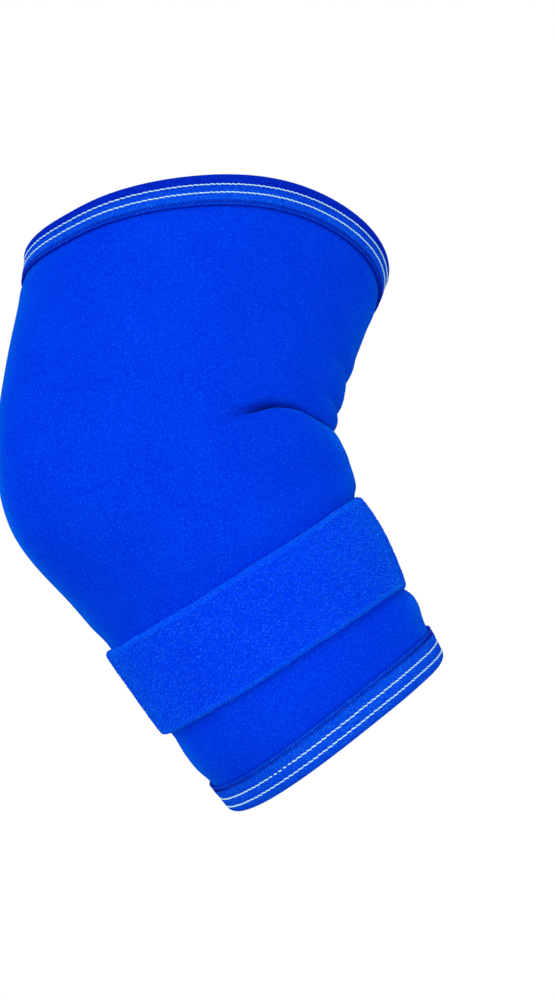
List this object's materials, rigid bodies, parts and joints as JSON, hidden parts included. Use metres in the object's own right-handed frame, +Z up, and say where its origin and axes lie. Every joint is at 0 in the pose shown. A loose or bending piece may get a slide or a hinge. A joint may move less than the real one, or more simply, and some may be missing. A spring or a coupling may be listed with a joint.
{
  "type": "elbow brace",
  "caption": "Bent pull-on neoprene elbow sleeve with bound hems and a wrap-round loop-pile strap below the elbow, open at both ends.",
  "frame": {"origin": "middle of the sleeve's hollow at the elbow, where the arm's elbow sits", "axes": "+Z up the upper arm, +X towards the crook of the elbow, Y the axis that the elbow bends about"},
  "size_m": [0.1828, 0.1088, 0.2342],
  "materials": {
    "neoprene": "matt knitted nylon face",
    "tape": "matt ribbed knit",
    "pile": "soft brushed loop pile",
    "hook": "matt"
  },
  "bodies": {
    "root": {"sleeve": "neoprene", "upper_binding": "tape", "lower_binding": "tape", "strap": "pile", "hook_tab": "hook"}
  },
  "joints": []
}
